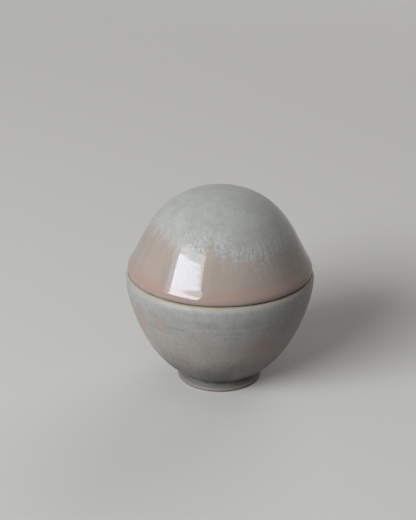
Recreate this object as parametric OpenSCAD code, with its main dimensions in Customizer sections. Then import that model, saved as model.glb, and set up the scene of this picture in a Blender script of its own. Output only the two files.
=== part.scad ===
// A lidded stoneware bowl, thrown on a wheel as two pieces: a bowl on a turned
// foot ring, and a domed lid. The lid rests flat on the bowl's rim, and a flange
// under it reaches into the mouth and keeps it from sliding off.
// Origin: the centre of the foot's underside. Both pieces are turned about +Z.

/* [Bowl] */
// Greatest diameter, at the shoulder just below the rim
bowl_d = 112.4; // [100:0.2:130]
// Height of the rim that the lid rests on, above the table
bowl_h = 70; // [58:0.5:86]
// Depth of the shoulder below the rim
shoulder_drop = 4.2; // [3.4:0.1:7]
// Thickness of the wall at the shoulder
wall = 4.4; // [3.2:0.1:6]
// Thickness of the floor over the foot's recess
floor_t = 6; // [4:0.1:9]
// Slope of the wall where it leaves the foot, in degrees above level
wall_start = 31; // [22:1:40]

/* [Foot ring] */
// Diameter of the ring over its rounded bottom edge
foot_d = 51; // [44:0.2:60]
// Depth of the cove between the bottom edge and the bowl
cove = 2.2; // [1.2:0.1:3]
// Height of the corner between the ring and the bowl, before its rounding
foot_h = 5.4; // [4.5:0.1:8]
// Rounding of that corner
neck_round = 2; // [1:0.1:3]
// Width of the ring, across its bottom edge
ring_w = 4.5; // [3.6:0.1:7]
// Depth of the recess inside the ring
recess = 5; // [4.6:0.1:7]
// Rounding of the recess's inner corner
recess_round = 1.6; // [0.8:0.1:2.4]
// Rounding of the ring's bottom edge on the inside
ring_round = 0.9; // [0.4:0.1:1.4]
// Height of the ring's widest place above the table
foot_edge = 1.2; // [0.8:0.1:2.4]
// Width of the rounded bottom edge on the outside
foot_edge_w = 1; // [0.6:0.1:1.8]

/* [Seat] */
// Distance from the shoulder in to the outer edge of the seat
seat_in = 3; // [2.4:0.1:4]
// Width of the flat seat on the rim
seat_w = 2.2; // [1.6:0.1:3]
// Rounding of the rim on the inside of the seat
rim_round = 0.9; // [0.5:0.1:1.4]

/* [Lid] */
// Height of the dome above the seat
lid_h = 50; // [42:0.5:60]
// Distance that the lid's widest edge stands in from the shoulder
edge_in = 1.15; // [0.4:0.05:2]
// Height of the lid's widest edge above the seat
edge_h = 2.5; // [1.8:0.1:3.4]
// Height of the rounded edge, up to where the side begins
bead_h = 6; // [5:0.1:7.5]
// How far the rounded edge draws in by that height
bead_in = 1.7; // [1.2:0.1:2.4]
// Lean of the side where it leaves the rounded edge, in degrees
bead_lean = 31; // [28:1:40]
// Height where the side goes over into the dome
side_h = 21; // [17:0.5:25]
// How far the side has drawn in by that height
side_in = 9.35; // [7:0.05:12]
// Lean of the side where it goes over into the dome, in degrees
side_lean = 27; // [22:1:34]
// Thickness at the top of the dome
crown_t = 5.2; // [4:0.1:7]

/* [Flange] */
// Depth of the flange below the seat
flange_l = 8; // [6:0.1:11]
// Thickness of the flange
flange_t = 3.2; // [2.6:0.1:4]
// Room between the flange and the bowl's mouth, on each side
flange_gap = 0.7; // [0.4:0.05:1.2]

/* [Hidden] */

// How far each curve reaches along its two end slopes, as shares of its chord
wall_reach_shares = [0.41, 0.13];
rim_reach_shares = [0.5, 0.32];
mouth_reach_shares = [0.3, 0.3];
hollow_reach_shares = [0.28, 0.46];
cove_reach_shares = [0.3, 0.4];
neck_reach_shares = [0.36, 0.36];
edge_reach_shares = [0.5, 0.5];
bead_reach_shares = [0.3, 0.3];
side_reach_shares = [0.3, 0.35];
dome_reach_shares = [0.3, 0.475];
vault_reach_shares = [0.4, 0.34];

// Number of straight steps in a long curve, a short curve and a rounding
long_steps = 30;
short_steps = 10;
round_steps = 6;
$fn = 160;

// Radii and heights that both pieces are built from
bowl_r = bowl_d / 2;
shoulder_z = bowl_h - shoulder_drop;
floor_z = recess + floor_t;
foot_r = foot_d / 2;
ring_r = foot_r - ring_w;
neck_r = foot_r - cove;
neck_reach = neck_round * tan((90 - wall_start) / 2);
neck_low = [neck_r, foot_h - neck_reach];
neck_high = [neck_r, foot_h] + heading(wall_start) * neck_reach;
seat_r = bowl_r - seat_in;
mouth_r = seat_r - seat_w - rim_round;
lid_r = bowl_r - edge_in;
flange_r = mouth_r - flange_gap;
flange_in_r = flange_r - flange_t;

// Unit vector at an angle above level, pointing outwards at 0 and up at 90 degrees
function heading(angle) = [cos(angle), sin(angle)];

// Points of a smooth curve from a to b, without a itself. It leaves a at one
// slope and arrives at b at another.
function curve(a, slope_a, b, slope_b, reach_shares, steps) = let (
    chord = norm(b - a),
    from_a = a + heading(slope_a) * chord * reach_shares[0],
    to_b = b - heading(slope_b) * chord * reach_shares[1]
) [for (i = [1:steps]) let (t = i / steps, s = 1 - t)
    s ^ 3 * a + 3 * s ^ 2 * t * from_a + 3 * s * t ^ 2 * to_b + t ^ 3 * b];

// Points of a rounding about a centre, between two angles
function rounding(centre, radius, start, end) = [for (i = [0:round_steps])
    centre + heading(start + (end - start) * i / round_steps) * radius];

// Outline of the foot, from the middle of its recess to the rounding under the bowl
function foot_outline() = let (
    face_edge = [foot_r - foot_edge_w, 0],
    widest = [foot_r, foot_edge]
) concat(
    [[0, recess]],
    rounding([ring_r - recess_round, recess - recess_round], recess_round, 90, 0),
    rounding([ring_r + ring_round, ring_round], ring_round, 180, 270),
    [face_edge],
    curve(face_edge, 0, widest, 90, edge_reach_shares, short_steps),
    curve(widest, 90, neck_low, 90, cove_reach_shares, short_steps)
);

// Outline of the bowl's wall, from the foot over the rim to the middle of the floor
function wall_outline() = let (
    shoulder = [bowl_r, shoulder_z],
    inner_shoulder = [bowl_r - wall, shoulder_z],
    seat_edge = [seat_r, bowl_h],
    mouth = [mouth_r, bowl_h - rim_round]
) concat(
    curve(neck_low, 90, neck_high, wall_start, neck_reach_shares, round_steps),
    curve(neck_high, wall_start, shoulder, 90, wall_reach_shares, long_steps),
    curve(shoulder, 90, seat_edge, 180, rim_reach_shares, short_steps),
    rounding([seat_r - seat_w, bowl_h - rim_round], rim_round, 90, 180),
    curve(mouth, -90, inner_shoulder, -90, mouth_reach_shares, short_steps),
    curve(inner_shoulder, -90, [0, floor_z], 180, hollow_reach_shares, long_steps)
);

// Outline of the lid with the seat at height zero, from the middle of its hollow,
// round the flange and over the seat to the top of the dome
function lid_outline() = let (
    flange_top = [flange_in_r, edge_h],
    seat_edge = [seat_r, 0],
    widest = [lid_r, edge_h],
    side_start = [lid_r - bead_in, bead_h],
    side_end = [lid_r - side_in, side_h]
) concat(
    [[0, lid_h - crown_t]],
    curve([0, lid_h - crown_t], 0, flange_top, -90, vault_reach_shares, long_steps),
    rounding([flange_r - flange_t / 2, flange_t / 2 - flange_l], flange_t / 2, 180, 360),
    [[flange_r, 0], seat_edge],
    curve(seat_edge, 0, widest, 90, edge_reach_shares, short_steps),
    curve(widest, 90, side_start, 90 + bead_lean, bead_reach_shares, short_steps),
    curve(side_start, 90 + bead_lean, side_end, 90 + side_lean, side_reach_shares, short_steps),
    curve(side_end, 90 + side_lean, [0, lid_h], 180, dome_reach_shares, long_steps)
);

// The bowl with its foot ring, thrown and turned from one piece of clay
module bowl() {
    color("#a9adab")
        rotate_extrude()
            polygon(concat(foot_outline(), wall_outline()));
}

// The lid with its flange, thrown upside down from one piece of clay
module lid() {
    color("#b5aaa3")
        translate([0, 0, bowl_h])
            rotate_extrude()
                polygon(lid_outline());
}

bowl();
lid();
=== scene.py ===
"""A lidded stoneware bowl: two thrown pieces of clay, the coats of glaze on them,
and the studio that they stand in. Sizes in the outlines are in millimetres, and
every mesh is in metres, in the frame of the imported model."""

from math import atan2, cos, hypot, pi, radians, sin, tan

import bpy
from mathutils import Matrix, Vector, noise
from mathutils.geometry import interpolate_bezier


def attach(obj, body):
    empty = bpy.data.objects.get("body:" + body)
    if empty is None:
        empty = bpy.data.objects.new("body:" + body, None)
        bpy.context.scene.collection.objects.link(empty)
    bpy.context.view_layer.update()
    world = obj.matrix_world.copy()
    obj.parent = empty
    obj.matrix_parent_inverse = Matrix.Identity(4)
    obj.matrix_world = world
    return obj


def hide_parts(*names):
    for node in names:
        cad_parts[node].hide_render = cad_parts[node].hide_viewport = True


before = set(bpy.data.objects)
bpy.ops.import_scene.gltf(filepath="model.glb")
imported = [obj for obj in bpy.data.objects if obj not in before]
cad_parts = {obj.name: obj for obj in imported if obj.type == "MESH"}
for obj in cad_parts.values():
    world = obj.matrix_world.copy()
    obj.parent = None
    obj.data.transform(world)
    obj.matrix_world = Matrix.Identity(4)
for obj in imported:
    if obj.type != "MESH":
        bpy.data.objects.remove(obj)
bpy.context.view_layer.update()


# The bowl's clay. Buff stoneware, thrown on a wheel in one piece, with a foot ring
# turned from it when it was leather-hard. It is left bare on the seat of the lid,
# round the top of the rim and on the foot's face, and glazed everywhere else.
bowl_h = 70.0  # height of the rim that the lid rests on
bowl_r = 56.2  # greatest radius, at the shoulder
shoulder_z = 65.8
wall = 4.4  # thickness at the shoulder
floor_z = 11.0  # height of the floor inside
recess = 5.0  # depth of the hollow inside the foot ring
recess_round = 1.6
foot_r = 25.5  # radius of the foot ring, at its rounded lip
foot_h = 5.4  # height of the corner between the ring and the wall
foot_edge = 1.2  # height of the lip's widest place
foot_edge_w = 1.0
ring_r = 21.0  # inner radius of the foot ring
ring_round = 0.9
neck_r = 23.3  # radius of the ring above its lip
neck_round = 2.0  # rounding of the corner under the wall
wall_start = 31  # slope of the wall there, in degrees above level
seat_r = 53.2  # outer edge of the seat that the lid rests on
seat_w = 2.2
rim_round = 0.9
mouth_r = 50.1  # inner radius of the rim
glaze_t = 0.4  # thickness of a coat of glaze
contact_r = 52.2  # how far out the lid and the bowl touch
worn_w = 0.9  # width over which the bare edges outside that are worn round
mm = 0.001

# How far each curve reaches along its two end slopes, as shares of its chord
edge_reaches = (0.5, 0.5)
cove_reaches = (0.3, 0.4)
neck_reaches = (0.36, 0.36)
wall_reaches = (0.41, 0.13)
rim_reaches = (0.5, 0.32)
mouth_reaches = (0.3, 0.3)
hollow_reaches = (0.28, 0.46)


def heading(angle):
    """Unit vector in an outline, pointing outwards at 0 and up at 90 degrees."""
    return Vector((cos(radians(angle)), sin(radians(angle))))


def curve(a, slope_a, b, slope_b, reaches, steps):
    """Points of a smooth curve from a to b, without a, by the slopes at its ends."""
    a, b = Vector(a), Vector(b)
    chord = (b - a).length
    from_a = a + heading(slope_a) * chord * reaches[0]
    to_b = b - heading(slope_b) * chord * reaches[1]
    return interpolate_bezier(a, from_a, to_b, b, steps + 1)[1:]


def arc(centre, radius, start, end, steps=8):
    """Points of a rounding about a centre, between two angles."""
    return [
        Vector(centre) + heading(start + (end - start) * i / steps) * radius
        for i in range(steps + 1)
    ]


def eased(share):
    """0 below 0, 1 above 1, and a smooth step between them."""
    share = min(max(share, 0), 1)
    return share * share * (3 - 2 * share)


def sunk(outline, depth_at):
    """An outline drawn into the clay, which lies on its left, by a depth per point."""
    moved = []
    for i, point in enumerate(outline):
        along = outline[min(i + 1, len(outline) - 1)] - outline[max(i - 1, 0)]
        inwards = Vector((-along.y, along.x)).normalized()
        new = point + inwards * depth_at(point)
        moved.append(Vector((0, new.y)) if point.x == 0 else new)
    return moved


def turned(name, outline, steps=288):
    """A solid of revolution: one point drawn along the outline, then turned round."""
    bpy.ops.object.select_all(action="DESELECT")
    bpy.ops.mesh.primitive_plane_add(size=mm)
    piece = bpy.context.object
    piece.name = piece.data.name = name
    bpy.ops.object.mode_set(mode="EDIT")
    bpy.ops.mesh.merge(type="CENTER")
    at = Vector((0, 0))
    for i, point in enumerate(outline):
        step = (point - at) * mm
        move = {"value": (step.x, 0, step.y)}
        if i == 0:
            bpy.ops.transform.translate(**move)
        else:
            bpy.ops.mesh.extrude_region_move(TRANSFORM_OT_translate=move)
        at = point
    bpy.ops.object.mode_set(mode="OBJECT")
    turn = piece.modifiers.new("turn", "SCREW")
    turn.angle = 2 * pi
    turn.steps = turn.render_steps = steps
    turn.use_merge_vertices = True
    turn.merge_threshold = 0.001 * mm
    bpy.ops.object.modifier_apply(modifier=turn.name)
    bpy.ops.object.mode_set(mode="EDIT")
    bpy.ops.mesh.select_all(action="SELECT")
    bpy.ops.mesh.remove_doubles(threshold=0.001 * mm)
    bpy.ops.mesh.normals_make_consistent(inside=False)
    bpy.ops.object.mode_set(mode="OBJECT")
    bpy.ops.object.shade_smooth()
    return piece


ridge_pitch = 4.6  # distance that the thrower's fingers travel in one turn
ridge_patch = 20  # size of the patches in which the ridges are stronger or fainter
wall_far = 55  # mean distance of the clay from the middle of its bend
calm_top = 12  # radius round the axis in which the ridges have died away
wobble = 0.14  # how far the fired clay strays from a true round
wobble_size = 40


def thrown(piece, centre_z, ridge_h, calm_zones):
    """Gives a turned piece the spiral ridges of throwing and a hand-made unevenness,
    which die away towards the heights that it has to meet something at."""
    centre = Vector((0, 0, centre_z * mm))
    for vertex in piece.data.vertices:
        out = vertex.co - centre
        polar = atan2(hypot(out.x, out.y), out.z)
        turn = atan2(out.y, out.x)
        z = vertex.co.z / mm
        calm = 1
        for low, high, fade in calm_zones:
            calm *= eased(max(low - z, z - high) / fade)
        calm *= eased(hypot(out.x, out.y) / mm / calm_top)
        spiral = sin(polar * wall_far * 2 * pi / ridge_pitch + turn)
        stray = noise.noise(vertex.co / mm / wobble_size)
        strength = 0.6 + 0.8 * noise.noise(vertex.co / mm / ridge_patch + Vector((7, 3, 5)))
        vertex.co += out.normalized() * calm * mm * (ridge_h * spiral * strength + wobble * stray)


neck_reach = neck_round * tan(radians((90 - wall_start) / 2))
neck_low = Vector((neck_r, foot_h - neck_reach))
neck_high = Vector((neck_r, foot_h)) + heading(wall_start) * neck_reach
recess_line = (
    [Vector((0, recess))]
    + arc((ring_r - recess_round, recess - recess_round), recess_round, 90, 0)
    + arc((ring_r + ring_round, ring_round), ring_round, 180, 270)
)
bowl_outside = (
    [Vector((foot_r - foot_edge_w, 0))]
    + curve((foot_r - foot_edge_w, 0), 0, (foot_r, foot_edge), 90, edge_reaches, 8)
    + curve((foot_r, foot_edge), 90, neck_low, 90, cove_reaches, 12)
    + curve(neck_low, 90, neck_high, wall_start, neck_reaches, 8)
    + curve(neck_high, wall_start, (bowl_r, shoulder_z), 90, wall_reaches, 84)
    + curve((bowl_r, shoulder_z), 90, (seat_r, bowl_h), 180, rim_reaches, 14)
)
bowl_seat = [Vector((contact_r + worn_w / 2, bowl_h)), Vector((contact_r, bowl_h))] + arc(
    (seat_r - seat_w, bowl_h - rim_round), rim_round, 90, 180
)
mouth = Vector((mouth_r, bowl_h - rim_round))
inner_shoulder = (bowl_r - wall, shoulder_z)
bowl_inside = (
    [mouth]
    + curve(mouth, -90, inner_shoulder, -90, mouth_reaches, 6)
    + curve(inner_shoulder, -90, (0, floor_z), 180, hollow_reaches, 76)
)
bowl_ridge_h = 0.04
bowl_calm = [(-1, 4, 8), (66, 80, 6)]  # heights from and to, and the fade beside them
bowl = turned(
    "bowl_clay",
    sunk(
        recess_line + bowl_outside + bowl_seat + bowl_inside[1:],
        lambda p: glaze_t * max(
            eased(min(p.y, bowl_h - p.y) / worn_w), eased((p.x - contact_r) / worn_w)
        ),
    ),
)
thrown(bowl, bowl_h, bowl_ridge_h, bowl_calm)
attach(bowl, "bowl_body")
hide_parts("bowl")


def linear(colour):
    """The linear colour that an sRGB hex value stands for."""
    parts = [int(colour[i:i + 2], 16) / 255 for i in (1, 3, 5)]
    return [p / 12.92 if p < 0.04045 else ((p + 0.055) / 1.055) ** 2.4 for p in parts] + [1]


def add(tree, kind, inputs, output=0, **settings):
    """Adds one shader node with its settings and inputs, and returns an output. In a
    MapRange node, inputs 1 and 2 are the range that is read and 3 and 4 the one that
    it becomes, 0 to 1 if not given. In a colour Mix node, 0 is the share of 7 in 6."""
    new = tree.nodes.new("ShaderNode" + kind)
    for name, value in settings.items():
        setattr(new, name, value)
    for socket, value in inputs.items():
        if isinstance(value, bpy.types.NodeSocket):
            tree.links.new(value, new.inputs[socket])
        else:
            new.inputs[socket].default_value = value
    return new.outputs[output]


def finish(name, *pieces, roughness=0.5, ior=1.5):
    """A new material on some pieces. Returns its node tree and its shader."""
    material = bpy.data.materials.new(name)
    material.use_nodes = True
    for piece in pieces:
        piece.data.materials.clear()
        piece.data.materials.append(material)
    shader = material.node_tree.nodes["Principled BSDF"]
    shader.inputs["Roughness"].default_value = roughness
    shader.inputs["IOR"].default_value = ior
    return material.node_tree, shader


# Bare fired stoneware is matte and warm, with fine sand in it that catches on a
# fingertip, and a few specks of iron, about 0.4 mm across. Where the two rims meet
# on the outside, a dark brown line 1 mm wide is painted on the clay: painted shade
# in the crease between the bowl and the lid.
def bare_stoneware(name, piece):
    tree, shader = finish(name, piece, roughness=0.85)
    coords = add(tree, "TexCoord", {}, "Object")
    cloud = add(tree, "TexNoise", {"Vector": coords, "Scale": 90, "Detail": 4})
    buff = add(tree, "Mix", {
        0: add(tree, "MapRange", {0: cloud, 1: 0.35, 2: 0.65}),
        6: linear("#ac9b88"), 7: linear("#bdae9b"),
    }, 2, data_type="RGBA")
    speck = add(tree, "TexVoronoi", {"Vector": coords, "Scale": 620})
    rare = add(tree, "TexNoise", {"Vector": coords, "Scale": 300, "Detail": 1})
    iron = add(tree, "Math", {
        0: add(tree, "MapRange", {0: speck, 1: 0.22, 2: 0.12}),
        1: add(tree, "MapRange", {0: rare, 1: 0.58, 2: 0.64}),
    }, operation="MULTIPLY")
    colour = add(tree, "Mix", {0: iron, 6: buff, 7: linear("#6d5544")}, 2, data_type="RGBA")
    level = add(tree, "VectorMath", {0: coords, 1: (1, 1, 0)}, operation="MULTIPLY")
    radius = add(tree, "VectorMath", {0: level}, "Value", operation="LENGTH")
    from_seam = add(tree, "Math", {
        0: add(tree, "Math", {
            0: add(tree, "SeparateXYZ", {0: coords}, "Z"), 1: (bowl_h + 0.1) * mm,
        }, operation="SUBTRACT"),
    }, operation="ABSOLUTE")
    # Painted shade: a dark brown line 1 mm wide in the crease where the lid sits on the bowl.
    seam_shade = add(tree, "Math", {
        0: add(tree, "MapRange", {0: from_seam, 1: 0.8 * mm, 2: 0.3 * mm, 4: 0.8}),
        1: add(tree, "MapRange", {
            0: radius, 1: (contact_r - 0.3) * mm, 2: (contact_r + 0.4) * mm,
        }),
    }, operation="MULTIPLY")
    colour = add(tree, "Mix", {0: seam_shade, 6: colour, 7: linear("#5f5040")}, 2, data_type="RGBA")
    tree.links.new(colour, shader.inputs["Base Color"])
    sand = add(tree, "TexNoise", {"Vector": coords, "Scale": 1800, "Detail": 3})
    bump = add(tree, "Bump", {"Strength": 0.6, "Distance": 0.00012, "Height": sand})
    tree.links.new(bump, shader.inputs["Normal"])


bare_stoneware("Bare fired stoneware, bowl", bowl)


# The bowl's grey glaze. One satin coat, from just above the foot's face to the top
# of the rim, another inside the bowl and one in the foot's recess. It was wiped
# off by hand at its edges, so they wander a little.
glaze_bite = 0.06  # how far a coat reaches into the clay under it
glaze_edge = 2.4  # how far from its edge a coat wanders with it


def coat(name, line, wander, seed):
    """A coat of glaze on a stretch of outline, with rounded edges off the axis."""
    under = sunk(line, lambda p: glaze_t + glaze_bite)

    def rounded(a, b, steps=4):
        across = (b - a) / 2
        outwards = Vector((across.y, -across.x))
        turns = [pi * i / (steps + 1) for i in range(1, steps + 1)]
        return [(a + b) / 2 - across * cos(t) + outwards * sin(t) for t in turns]

    loop = list(line)
    if line[-1].x:
        loop += rounded(line[-1], under[-1])
    loop += under[::-1]
    if line[0].x:
        loop += rounded(under[0], line[0]) + [line[0]]
    piece = turned(name, loop)
    ends = ((line[0], line[2]), (line[-1], line[-3]))
    edges = [(end, (end - near).normalized()) for end, near in ends if end.x]
    for vertex in piece.data.vertices:
        at = Vector((hypot(vertex.co.x, vertex.co.y), vertex.co.z)) / mm
        turn = atan2(vertex.co.y, vertex.co.x)
        for i, (edge, onwards) in enumerate(edges):
            near = eased(1 - (at - edge).length / glaze_edge)
            if near:
                place = Vector((cos(turn), sin(turn), seed + i)) * 3
                drift = noise.noise(place) + 0.6 * noise.noise(place * 4)
                shift = onwards * (wander * drift * near * mm)
                vertex.co += Vector((cos(turn) * shift.x, sin(turn) * shift.x, shift.y))
    return piece


def cut(line, low, high):
    """The stretch of an outline between two heights, with its ends exactly there."""
    kept = [line[0]] if low <= line[0].y <= high else []
    for a, b in zip(line, line[1:]):
        for height in sorted((low, high), reverse=b.y < a.y):
            if (a.y - height) * (b.y - height) < 0:
                kept.append(a.lerp(b, (height - a.y) / (b.y - a.y)))
        if low <= b.y <= high:
            kept.append(b)
    return kept


bowl_coats = [
    coat("bowl_glaze_outside", cut(bowl_outside, low=0.3, high=69.3), wander=0.15, seed=1),
    coat("bowl_glaze_inside", cut(bowl_inside, low=floor_z, high=67.6), wander=0.35, seed=5),
    coat("bowl_glaze_recess", cut(recess_line, low=1.6, high=recess), wander=0.35, seed=9),
]
for piece in bowl_coats:
    thrown(piece, bowl_h, bowl_ridge_h, bowl_calm)
    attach(piece, "bowl_body")
    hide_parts("bowl")


def around(tree):
    """Where a point of the glaze is: its place, its height above the table in
    millimetres, and the level direction that it faces."""
    coords = add(tree, "TexCoord", {}, "Object")
    height = add(tree, "Math", {
        0: add(tree, "SeparateXYZ", {0: coords}, "Z"), 1: 1 / mm,
    }, operation="MULTIPLY")
    level = add(tree, "VectorMath", {0: coords, 1: (1, 1, 0)}, operation="MULTIPLY")
    facing = add(tree, "VectorMath", {0: level}, operation="NORMALIZE")
    return coords, height, facing


def runs(tree, coords, facing, across, along, detail=2):
    """Noise drawn out down the wall. Its marks are so many millimetres across, at a
    radius of 50 mm, and so many along."""
    wide = 50 / across
    place = add(tree, "VectorMath", {
        0: facing, 1: (wide, wide, 0),
        2: add(tree, "VectorMath", {0: coords, 1: (0, 0, 1 / mm / along)}, operation="MULTIPLY"),
    }, operation="MULTIPLY_ADD")
    return add(tree, "TexNoise", {"Vector": place, "Scale": 1, "Detail": detail})


# Satin grey stoneware glaze, dipped and fired in a gas kiln. It is cool and cloudy
# with faint runs under the rim, goes warm where it is thin, over the rim and the
# foot's lip, blushes pink here and there, and pools darker above the foot and in its
# cove. Painted shade darkens it further under the belly, in the cove and on the lip.
tree, shader = finish("Satin grey stoneware glaze", *bowl_coats, roughness=0.34)
coords, height, facing = around(tree)

# Warm grey low down goes over into cool grey higher up, along a cloudy border.
cloud = add(tree, "TexNoise", {"Vector": coords, "Scale": 48, "Detail": 5, "Roughness": 0.62})
cool = add(tree, "MapRange", {
    0: add(tree, "Math", {0: cloud, 1: 34, 2: height}, operation="MULTIPLY_ADD"), 1: 46, 2: 80,
}, interpolation_type="SMOOTHSTEP")
grey = add(tree, "Mix", {0: cool, 6: linear("#bcb5aa"), 7: linear("#b5b7b2")}, 2, data_type="RGBA")

# A fine darker grain, and a darker mist, its patches a little longer down the wall.
grain = add(tree, "TexNoise", {"Vector": coords, "Scale": 520, "Detail": 3, "Roughness": 0.7})
grey = add(tree, "Mix", {
    0: add(tree, "MapRange", {0: grain, 1: 0.35, 2: 0.65, 4: 0.4}), 6: grey, 7: linear("#85867f"),
}, 2, data_type="RGBA")
drawn = add(tree, "VectorMath", {0: coords, 1: (1, 1, 0.6)}, operation="MULTIPLY")
mist = add(tree, "TexNoise", {"Vector": drawn, "Scale": 130, "Detail": 4, "Roughness": 0.6})
grey = add(tree, "Mix", {
    0: add(tree, "MapRange", {0: mist, 1: 0.42, 2: 0.66, 4: 0.3}, interpolation_type="SMOOTHSTEP"),
    6: grey, 7: linear("#949590"),
}, 2, data_type="RGBA")

# Faint pale runs, which begin 40 mm up and are strongest under the rim.
streak = runs(tree, coords, facing, across=1.6, along=12, detail=3)
grey = add(tree, "Mix", {
    0: add(tree, "Math", {
        0: add(tree, "MapRange", {0: streak, 1: 0.42, 2: 0.72}),
        1: add(tree, "MapRange", {0: height, 1: 40, 2: 64, 4: 0.3}),
    }, operation="MULTIPLY"),
    6: grey, 7: linear("#bcbdb8"),
}, 2, data_type="RGBA")

# Soft darker bands that lie level round the wall, along the way it was thrown.
place = add(tree, "VectorMath", {
    0: facing, 1: (1.8, 1.8, 0),
    2: add(tree, "VectorMath", {0: coords, 1: (0, 0, 170)}, operation="MULTIPLY"),
}, operation="MULTIPLY_ADD")
band = add(tree, "TexNoise", {"Vector": place, "Scale": 1, "Detail": 4, "Roughness": 0.6})
grey = add(tree, "Mix", {
    0: add(tree, "MapRange", {0: band, 1: 0.48, 2: 0.72, 4: 0.2}, interpolation_type="SMOOTHSTEP"),
    6: grey, 7: linear("#92938e"),
}, 2, data_type="RGBA")

# Three darker rings under the rim, wavy and broken, from deeper throwing marks.
wavy = add(tree, "Math", {0: cloud, 1: 5, 2: height}, operation="MULTIPLY_ADD")
for seed, rise, half, strength in (
    (1, 60.8, 3.0, 0.36),
    (2, 55.6, 2.2, 0.4),
    (3, 51.6, 1.8, 0.25),
):
    groove = add(tree, "MapRange", {
        0: add(tree, "Math", {
            0: add(tree, "Math", {0: wavy, 1: rise}, operation="SUBTRACT"),
        }, operation="ABSOLUTE"), 1: half, 2: 0.3,
    }, interpolation_type="SMOOTHSTEP")
    broken = runs(tree, coords, facing, across=7 + 2 * seed, along=400)
    groove = add(tree, "Math", {
        0: groove, 1: add(tree, "MapRange", {0: broken, 1: 0.38, 2: 0.6, 4: strength}),
    }, operation="MULTIPLY")
    grey = add(tree, "Mix", {0: groove, 6: grey, 7: linear("#858783")}, 2, data_type="RGBA")

# Pink blushes, where the flame met the glaze: faint all over, and strong in six
# spots, each by its turn from the front, height, distance out, size and strength.
warmth = 0.16
for turn, rise, out, size, strength in (
    (-62, 47, 52, 20, 1),
    (-38, 53, 54, 9, 0.9),
    (30, 38, 49, 19, 1),
    (5, 18, 34, 10, 0.9),
    (-28, 27, 42, 10, 0.6),
    (150, 38, 50, 22, 0.9),
):
    spot = Vector((out * sin(radians(turn)), -out * cos(radians(turn)), rise)) * mm
    away = add(tree, "VectorMath", {0: coords, 1: spot}, "Value", operation="DISTANCE")
    warm = add(tree, "MapRange", {
        0: away, 1: size * mm, 2: 0, 4: strength,
    }, interpolation_type="SMOOTHSTEP")
    warmth = add(tree, "Math", {0: warmth, 1: warm}, operation="MAXIMUM")
level = add(tree, "VectorMath", {0: coords, 1: (1, 1, 2.3)}, operation="MULTIPLY")
blush = add(tree, "TexNoise", {"Vector": level, "Scale": 60, "Detail": 5, "Roughness": 0.66})
pink = add(tree, "MapRange", {
    0: blush, 1: 0.3, 2: 0.58, 4: 0.9,
}, interpolation_type="SMOOTHSTEP")
grey = add(tree, "Mix", {
    0: add(tree, "Math", {0: warmth, 1: pink}, operation="MULTIPLY"),
    6: grey, 7: linear("#b59a8c"),
}, 2, data_type="RGBA")

# Thick dark glaze has pooled in runs on the wall above the foot and in the cove under
# the wall, and the same dark colour paints the shade there: under the belly, where the
# wall faces down, and in the cove, which the wall shades. There is less of it where the
# surface faces up, as inside the bowl.
# Painted shade with pooled glaze, darker towards the foot and broken up in runs.
pool_and_shade = add(tree, "Math", {
    0: add(tree, "MapRange", {
        0: add(tree, "Math", {0: mist, 1: -11, 2: height}, operation="MULTIPLY_ADD"), 1: 30, 2: 5,
    }, interpolation_type="SMOOTHSTEP"),
    1: add(tree, "MapRange", {
        0: runs(tree, coords, facing, across=14, along=60), 1: 0.36, 2: 0.56, 3: 0.5, 4: 0.9,
    }),
}, operation="MULTIPLY")
upwards = add(tree, "SeparateXYZ", {0: add(tree, "TexCoord", {}, "Normal")}, "Z")
# Painted shade: darker where the glaze faces down, lighter where it faces up.
pool_and_shade = add(tree, "Math", {
    0: pool_and_shade, 1: add(tree, "MapRange", {0: upwards, 1: 0, 2: 0.4, 3: 1, 4: 0.3}),
}, operation="MULTIPLY")
# Painted shade in the cove under the wall, over the glaze pooled there.
cove_pool_and_shade = add(tree, "MapRange", {0: height, 1: 6.4, 2: 4.2, 4: 0.9}, interpolation_type="SMOOTHSTEP")
pool_and_shade = add(tree, "Math", {0: pool_and_shade, 1: cove_pool_and_shade}, operation="MAXIMUM")
grey = add(tree, "Mix", {0: pool_and_shade, 6: grey, 7: linear("#4b4d49")}, 2, data_type="RGBA")

# Tawny stains on the foot.
tawny = add(tree, "Math", {
    0: add(tree, "MapRange", {0: blush, 1: 0.5, 2: 0.7, 4: 0.5}),
    1: add(tree, "MapRange", {0: height, 1: 7, 2: 5}),
}, operation="MULTIPLY")
grey = add(tree, "Mix", {0: tawny, 6: grey, 7: linear("#8a7e68")}, 2, data_type="RGBA")

# Over the rim the glaze thins to ochre flecks and then a warm pale band.
uneven = add(tree, "TexNoise", {"Vector": level, "Scale": 110, "Detail": 3})
thin = add(tree, "Math", {0: uneven, 1: 3, 2: height}, operation="MULTIPLY_ADD")
ochre = add(tree, "MapRange", {
    0: thin, 1: 69.5, 2: 70.5, 4: 0.7,
}, interpolation_type="SMOOTHSTEP")
grey = add(tree, "Mix", {0: ochre, 6: grey, 7: linear("#9c8e72")}, 2, data_type="RGBA")
rim = add(tree, "MapRange", {0: height, 1: 68.0, 2: 68.8}, interpolation_type="SMOOTHSTEP")
grey = add(tree, "Mix", {0: rim, 6: grey, 7: linear("#b3a99b")}, 2, data_type="RGBA")

# On the foot's lip it thins again, to a warm grey that is painted darker, as shade.
thin_lip_and_shade = add(tree, "MapRange", {
    0: add(tree, "Math", {0: uneven, 1: 1.2, 2: height}, operation="MULTIPLY_ADD"),
    1: 3.9, 2: 2.4, 4: 0.95,
}, interpolation_type="SMOOTHSTEP")
# The lip's colour is the thin glaze's warm grey, darkened as painted shade.
grey = add(tree, "Mix", {0: thin_lip_and_shade, 6: grey, 7: linear("#867d76")}, 2, data_type="RGBA")
tree.links.new(grey, shader.inputs["Base Color"])

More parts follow.
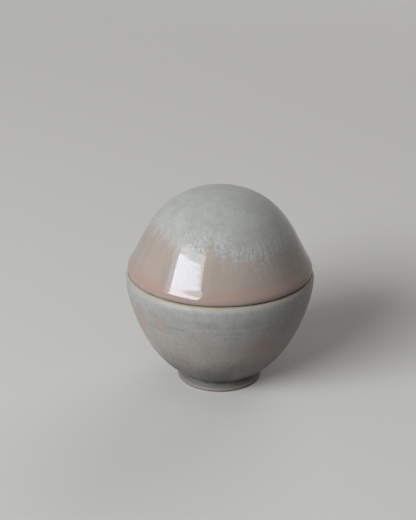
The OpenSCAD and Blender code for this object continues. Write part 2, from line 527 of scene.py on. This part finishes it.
# It is satin on the wall, and drier where it is thin, on the rim and the foot.
dry = add(tree, "Math", {
    0: add(tree, "MapRange", {0: height, 1: 66, 2: 69, 3: 0.34, 4: 0.62}),
    1: add(tree, "MapRange", {0: height, 1: 9, 2: 6, 3: 0.34, 4: 0.6}),
}, operation="MAXIMUM")
tree.links.new(dry, shader.inputs["Roughness"])
skin = add(tree, "TexNoise", {"Vector": coords, "Scale": 900, "Detail": 3, "Roughness": 0.6})
relief = add(tree, "Math", {0: mist, 1: 1.0, 2: skin}, operation="MULTIPLY_ADD")
bump = add(tree, "Bump", {"Strength": 0.5, "Distance": 0.00006, "Height": relief})
tree.links.new(bump, shader.inputs["Normal"])


# The lid's clay. Thrown upside down from the same stoneware, in one piece with the
# flange that stands down into the bowl's mouth. The flange, the seat and a narrow
# band above it are left bare, so that the lid doesn't stick to the bowl in the kiln.
lid_h = 50.0  # height of the dome above the seat, as all the lid's heights are
lid_r = 55.05  # greatest radius, at the widest place of the edge
edge_h = 2.5  # height of that place
side_h = 21.0  # height where the side goes over into the dome
side_in = 9.35  # how far the side has drawn in by that height
side_lean = 27  # its lean there, in degrees
crown_t = 5.2  # thickness at the top of the dome
flange_l = 8.0
flange_t = 3.2
flange_r = 49.4  # outer radius of the flange
flange_in_r = 46.2

# The rounded edge goes over into the lid's side 2.4 mm higher up than in the packed
# model, because the window's reflection lies in the right place only then. That
# moves the outline by about 0.2 mm at most.
bead_h = 8.4  # height up to which the edge is rounded
bead_in = 2.85  # how far it has drawn in by that height
bead_lean = 27.4  # lean of the side there, in degrees
bead_reaches = (0.2, 0.3)
side_reaches = (0.3, 0.35)
dome_reaches = (0.3, 0.475)
vault_reaches = (0.4, 0.34)

lid_top = bowl_h + lid_h
hollow_top = lid_top - crown_t
widest = (lid_r, bowl_h + edge_h)
side_start = (lid_r - bead_in, bowl_h + bead_h)
side_end = (lid_r - side_in, bowl_h + side_h)
lid_inside = [Vector((0, hollow_top))] + curve(
    (0, hollow_top), 0, (flange_in_r, bowl_h + edge_h), -90, vault_reaches, 70
)
flange_line = arc(
    (flange_r - flange_t / 2, bowl_h + flange_t / 2 - flange_l), flange_t / 2, 180, 360, 12
)
lid_seat = [Vector((r, bowl_h)) for r in (flange_r, contact_r, contact_r + worn_w / 2, seat_r)]
lid_outside = (
    [Vector((seat_r, bowl_h))]
    + curve((seat_r, bowl_h), 0, widest, 90, edge_reaches, 10)
    + curve(widest, 90, side_start, 90 + bead_lean, bead_reaches, 16)
    + curve(side_start, 90 + bead_lean, side_end, 90 + side_lean, side_reaches, 20)
    + curve(side_end, 90 + side_lean, (0, lid_top), 180, dome_reaches, 80)
)
lid_centre = 66  # height of the middle of the dome's bend
lid_ridge_h = 0.008  # nearly smooth, because it was smoothed with a rib
lid_calm = [(40, 73, 7)]
lid = turned(
    "lid_clay",
    sunk(
        lid_inside + flange_line + lid_seat + lid_outside[1:],
        lambda p: glaze_t * eased((p.y - bowl_h) / worn_w - 0.3),
    ),
)
thrown(lid, lid_centre, lid_ridge_h, lid_calm)
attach(lid, "lid_body")
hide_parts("lid")
bare_stoneware("Bare fired stoneware, lid", lid)


# The lid's glazes. The whole lid was dipped in a glossy peach glaze, and then its top
# in a second, pale one that ran a little in the kiln. The two have fused to one coat
# on the outside, and there is another coat inside the dome.
lid_coats = [
    coat("lid_glaze_outside", cut(lid_outside, low=71.5, high=lid_top), wander=0.3, seed=13),
    coat("lid_glaze_inside", cut(lid_inside, low=72.6, high=hollow_top), wander=0.35, seed=17),
]
for piece in lid_coats:
    thrown(piece, lid_centre, lid_ridge_h, lid_calm)
    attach(piece, "lid_body")
    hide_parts("lid")

# Two stoneware glazes, one over the other. The first is glossy and peach, cloudy
# where it is thick, salmon where it thins towards the edge, and pale grey where it
# has pooled on it. The second is pale and satin, and ends in fine hare's-fur runs.
tree, shader = finish("Pale satin glaze over glossy peach glaze", *lid_coats, ior=1.41)
shader.inputs["Specular Tint"].default_value = linear("#e6f4ff")
coords, height, facing = around(tree)

# The peach glaze, cloudy, and veiled in wide soft runs.
cloud = add(tree, "TexNoise", {"Vector": coords, "Scale": 40, "Detail": 5, "Roughness": 0.62})
peach = add(tree, "Mix", {
    0: add(tree, "MapRange", {0: cloud, 1: 0.38, 2: 0.64}),
    6: linear("#b29f90"), 7: linear("#ac9e93"),
}, 2, data_type="RGBA")
veil = runs(tree, coords, facing, across=7, along=60, detail=3)
peach = add(tree, "Mix", {
    0: add(tree, "MapRange", {0: veil, 1: 0.45, 2: 0.68, 4: 0.7}),
    6: peach, 7: linear("#a29894"),
}, 2, data_type="RGBA")

# From about 83 mm down it thins and goes salmon, finely mottled with rose.
low = add(tree, "Math", {0: cloud, 1: 10, 2: height}, operation="MULTIPLY_ADD")
salmon = add(tree, "MapRange", {
    0: low, 1: 88, 2: 78.5, 4: 0.95,
}, interpolation_type="SMOOTHSTEP")
mottle = add(tree, "TexNoise", {"Vector": coords, "Scale": 260, "Detail": 4, "Roughness": 0.65})
rose = add(tree, "Mix", {
    0: add(tree, "MapRange", {0: mottle, 1: 0.38, 2: 0.62}),
    6: linear("#aa9586"), 7: linear("#b39286"),
}, 2, data_type="RGBA")
peach = add(tree, "Mix", {0: salmon, 6: peach, 7: rose}, 2, data_type="RGBA")

# On the rounded edge, up to about 3 mm over the seat, it has pooled and gone pale grey.
edge = add(tree, "Math", {
    0: add(tree, "TexNoise", {"Vector": coords, "Scale": 130, "Detail": 3}), 1: 2.4, 2: height,
}, operation="MULTIPLY_ADD")
pooled = add(tree, "MapRange", {
    0: edge, 1: 74.3, 2: 73.5, 4: 0.8,
}, interpolation_type="SMOOTHSTEP")
peach = add(tree, "Mix", {0: pooled, 6: peach, 7: linear("#aaa49e")}, 2, data_type="RGBA")

# The line of the second dip. The lid was tilted to one side and to the other in the
# bath, so the line is 10 mm lower on two sides than between them. It also slants up
# to the right, and is higher where finger and thumb held the lid and at the far left.
tilt_axis = (-0.777, -0.629, 0)
line_low = 90.7
line_rise = 10.4
along_tilt = add(tree, "VectorMath", {0: facing, 1: tilt_axis}, "Value", operation="DOT_PRODUCT")
line = add(tree, "Math", {
    0: add(tree, "Math", {0: along_tilt, 1: along_tilt}, operation="MULTIPLY"),
    1: line_rise, 2: line_low,
}, operation="MULTIPLY_ADD")
slant = add(tree, "VectorMath", {0: facing, 1: (2.4, 0, 0)}, "Value", operation="DOT_PRODUCT")
line = add(tree, "Math", {0: line, 1: slant}, operation="ADD")
side = add(tree, "SeparateXYZ", {0: facing}, "X")
held = add(tree, "Math", {
    0: add(tree, "Math", {0: side, 1: 0.07}, operation="ADD"),
}, operation="ABSOLUTE")
held = add(tree, "MapRange", {0: held, 1: 0.3, 2: 0.1, 4: 3.4}, interpolation_type="SMOOTHSTEP")
line = add(tree, "Math", {0: line, 1: held}, operation="ADD")
far_left = add(tree, "MapRange", {
    0: side, 1: -0.72, 2: -0.9, 4: 3,
}, interpolation_type="SMOOTHSTEP")
line = add(tree, "Math", {0: line, 1: far_left}, operation="ADD")
above = add(tree, "Math", {0: height, 1: line}, operation="SUBTRACT")

# How far a point is inside the second glaze, in millimetres. Drips, longer on the
# right, and hair-fine runs with curds in them make its border ragged.
drips = runs(tree, coords, facing, across=3, along=14)
drip_h = add(tree, "MapRange", {0: side, 1: -0.3, 2: 0.5, 3: 10, 4: 17})
over = add(tree, "Math", {
    0: add(tree, "Math", {0: drips, 1: 0.5}, operation="SUBTRACT"), 1: drip_h, 2: above,
}, operation="MULTIPLY_ADD")
hairs = runs(tree, coords, facing, across=1.1, along=3.2)
specks = add(tree, "TexNoise", {"Vector": coords, "Scale": 640, "Detail": 2})
curds = add(tree, "Math", {0: specks, 1: 0.8, 2: hairs}, operation="MULTIPLY_ADD")
over = add(tree, "Math", {
    0: add(tree, "Math", {0: curds, 1: 0.9}, operation="SUBTRACT"), 1: 11, 2: over,
}, operation="MULTIPLY_ADD")

# The solid glaze ends at the border, softly on the left and crisply elsewhere. A thin
# veil of it reaches over the border, 6 mm on the left and 13 mm elsewhere.
crisp = add(tree, "MapRange", {0: side, 1: -0.78, 2: -0.22}, interpolation_type="SMOOTHSTEP")
veiled = add(tree, "MapRange", {
    0: over, 1: add(tree, "MapRange", {0: crisp, 3: -6, 4: -13}),
    2: add(tree, "MapRange", {0: crisp, 3: 7, 4: 10}), 4: 0.6,
}, interpolation_type="SMOOTHSTEP")
solid = add(tree, "MapRange", {
    0: add(tree, "Math", {
        0: over, 1: add(tree, "MapRange", {0: crisp, 3: 4, 4: 2.2}),
    }, operation="DIVIDE"), 1: -1, 2: 1, 4: 0.4,
}, interpolation_type="SMOOTHSTEP")
cover = add(tree, "Math", {0: veiled, 1: solid}, operation="ADD")

# It is pale grey and grainy, with paler fur of flecks close above its border.
grain = add(tree, "TexNoise", {"Vector": coords, "Scale": 420, "Detail": 4, "Roughness": 0.75})
drift = add(tree, "TexNoise", {"Vector": coords, "Scale": 150, "Detail": 3})
pale = add(tree, "Mix", {
    0: add(tree, "MapRange", {
        0: add(tree, "Math", {0: grain, 1: drift}, operation="ADD"), 1: 0.78, 2: 1.22,
    }),
    6: linear("#abaaa5"), 7: linear("#b8b8b2"),
}, 2, data_type="RGBA")
close = add(tree, "MapRange", {0: above, 1: 16, 2: 1}, interpolation_type="SMOOTHSTEP")
flecks = add(tree, "Math", {0: close, 1: 0.5, 2: curds}, operation="MULTIPLY_ADD")
fur = add(tree, "Math", {
    0: add(tree, "MapRange", {0: flecks, 1: 1.22, 2: 1.52}),
    1: add(tree, "MapRange", {0: crisp, 3: 0.3, 4: 0.75}),
}, operation="MULTIPLY")
pale = add(tree, "Mix", {0: fur, 6: pale, 7: linear("#c0c3c0")}, 2, data_type="RGBA")
colour = add(tree, "Mix", {0: cover, 6: peach, 7: pale}, 2, data_type="RGBA")

# Short dark ticks where the two glazes meet, except on the left.
from_line = add(tree, "Math", {
    0: add(tree, "Math", {0: over, 1: 1}, operation="SUBTRACT"),
}, operation="ABSOLUTE")
meet = add(tree, "MapRange", {0: from_line, 1: 5, 2: 1}, interpolation_type="SMOOTHSTEP")
ticks = runs(tree, coords, facing, across=0.7, along=1.6)
ticks = add(tree, "Math", {
    0: add(tree, "MapRange", {0: ticks, 1: 0.52, 2: 0.68, 4: 0.55}), 1: crisp,
}, operation="MULTIPLY")
meet = add(tree, "Math", {0: meet, 1: ticks}, operation="MULTIPLY")
colour = add(tree, "Mix", {0: meet, 6: colour, 7: linear("#837f76")}, 2, data_type="RGBA")
tree.links.new(colour, shader.inputs["Base Color"])

# The peach glaze is glossy and smooth, the pale one satin, with its fur and its
# grain raised a little.
gloss = add(tree, "MapRange", {0: over, 1: 1, 2: 8, 3: 0.085, 4: 0.3})
tree.links.new(gloss, shader.inputs["Roughness"])
fur_h = add(tree, "Math", {0: hairs, 1: close, 2: 0.8}, operation="MULTIPLY_ADD")
relief = add(tree, "Math", {
    0: solid, 1: add(tree, "Math", {0: grain, 1: 0.7, 2: fur_h}, operation="MULTIPLY_ADD"),
}, operation="MULTIPLY")
bump = add(tree, "Bump", {"Strength": 0.5, "Distance": 0.00016, "Height": relief})
tree.links.new(bump, shader.inputs["Normal"])


# The studio: a plain pale floor that runs out of sight, and a pale surround. Its
# lengths are in metres.
floor_radius = 20
plain_floor = 0.35  # how far out the floor keeps its own colour
faded_floor = 2.4  # how far out it has gone over into the surround
backdrop = 0.48  # brightness of the surround, and of the floor far away
room_light = 0.15  # brightness of the surround for the light on the object
bpy.ops.object.select_all(action="DESELECT")
bpy.ops.mesh.primitive_circle_add(vertices=96, radius=floor_radius, fill_type="NGON")
floor = bpy.context.object
floor.name = floor.data.name = "studio_floor"
tree, shader = finish("Matte pale floor", floor, roughness=0.9)


def seen_in(tree):
    """1 for what is seen, straight or in a reflection or through glass, and 0 for
    the light that is thrown on the object."""
    seen = add(tree, "LightPath", {}, "Is Camera Ray")
    for name in ("Is Glossy Ray", "Is Transmission Ray"):
        ray = add(tree, "LightPath", {}, name)
        seen = add(tree, "Math", {0: seen, 1: ray}, operation="MAXIMUM")
    return seen


# The floor is pale to the eye, and darker for the light that it throws back. Far out
# it goes over into the surround, with the same brightness.
seen = seen_in(tree)
tone = add(tree, "Mix", {
    0: seen, 6: linear("#5c5a57"), 7: linear("#dddad5"),
}, 2, data_type="RGBA")
place = add(tree, "TexCoord", {}, "Object")
away = add(tree, "VectorMath", {0: place}, "Value", operation="LENGTH")
far = add(tree, "MapRange", {
    0: away, 1: plain_floor, 2: faded_floor,
}, interpolation_type="SMOOTHSTEP")
tone = add(tree, "Mix", {0: far, 6: tone, 7: linear("#000000")}, 2, data_type="RGBA")
tree.links.new(tone, shader.inputs["Base Color"])
glow = add(tree, "Math", {
    0: far, 1: add(tree, "Math", {0: seen, 1: backdrop}, operation="MULTIPLY"),
}, operation="MULTIPLY")
tree.links.new(glow, shader.inputs["Emission Strength"])
shader.inputs["Emission Color"].default_value = linear("#ffffff")
shader.inputs["Specular IOR Level"].default_value = 0

world = bpy.data.worlds.new("pale studio")
world.use_nodes = True
bpy.context.scene.world = world
tree = world.node_tree
background = tree.nodes["Background"]
background.inputs["Color"].default_value = linear("#ffffff")
room = add(tree, "MapRange", {0: seen_in(tree), 3: room_light, 4: backdrop})
tree.links.new(room, background.inputs["Strength"])

# The window, to the left of the camera: a bright lower part, an upper part dimmed
# by a blind, and beside them the pale reveal that the daylight falls on. Each is
# given by the angles that it fills, seen from the object, and by its brightness.
look_at = Vector((0, 0, 0.08))  # the place on the object that the lights point at
window_far = 3.0
window_turn = -47  # degrees from the camera's side of the object, to the left
window_rise = 30  # degrees above level
towards = Vector((
    sin(radians(window_turn)) * cos(radians(window_rise)),
    -cos(radians(window_turn)) * cos(radians(window_rise)),
    sin(radians(window_rise)),
))
upright = towards.to_track_quat("Z", "Y")
for name, left, right, low, high, radiance, colour in (
    ("window_lower", -17, 20, -10.5, 0.3, 18.4, "#f3f7ff"),
    ("window_blind", -17, 20, 0.5, 11, 8.3, "#f4f8f6"),
    ("window_reveal", -24, -18, -10.5, 10, 3.3, "#f3f7ff"),
):
    left, right, low, high = (window_far * tan(radians(a)) for a in (left, right, low, high))
    centre = Vector(((left + right) / 2, (low + high) / 2, 0))
    place = look_at + towards * window_far + upright @ centre
    bpy.ops.object.light_add(type="AREA", location=place, rotation=upright.to_euler())
    light = bpy.context.object
    light.name = light.data.name = name
    light.data.shape = "RECTANGLE"
    light.data.size = right - left
    light.data.size_y = high - low
    light.data.energy = radiance * pi * (right - left) * (high - low)
    light.data.color = linear(colour)[:3]
    light.visible_camera = False

# A weak soft light from behind, so that the object's far side isn't left in the dark.
back_w = 2.4
back_h = 1.6
back_radiance = 2.2
bpy.ops.object.light_add(type="AREA", location=(1.2, 2.6, 1.5))
light = bpy.context.object
light.name = light.data.name = "soft_back_light"
light.rotation_euler = (look_at - light.location).to_track_quat("-Z", "Y").to_euler()
light.data.shape = "RECTANGLE"
light.data.size = back_w
light.data.size_y = back_h
light.data.energy = back_radiance * pi * back_w * back_h
light.visible_camera = False
light.visible_glossy = False

# The camera stands where the photograph was taken from.
camera_back = 0.6853  # distance from the object's axis
camera_up = 0.3668  # height above the floor
look_down = 23.03  # degrees below level
look_left = 0.595  # degrees from the object's axis
roll = 0.213
turn = (
    Matrix.Rotation(radians(look_left), 4, "Z")
    @ Matrix.Rotation(radians(90 - look_down), 4, "X")
    @ Matrix.Rotation(radians(roll), 4, "Z")
)
bpy.ops.object.camera_add(location=(0, -camera_back, camera_up), rotation=turn.to_euler())
camera = bpy.context.object
camera.data.lens = 86.54
camera.data.sensor_width = 36
camera.data.clip_start = 0.01
bpy.context.scene.camera = camera
bpy.context.scene.view_settings.view_transform = "Standard"
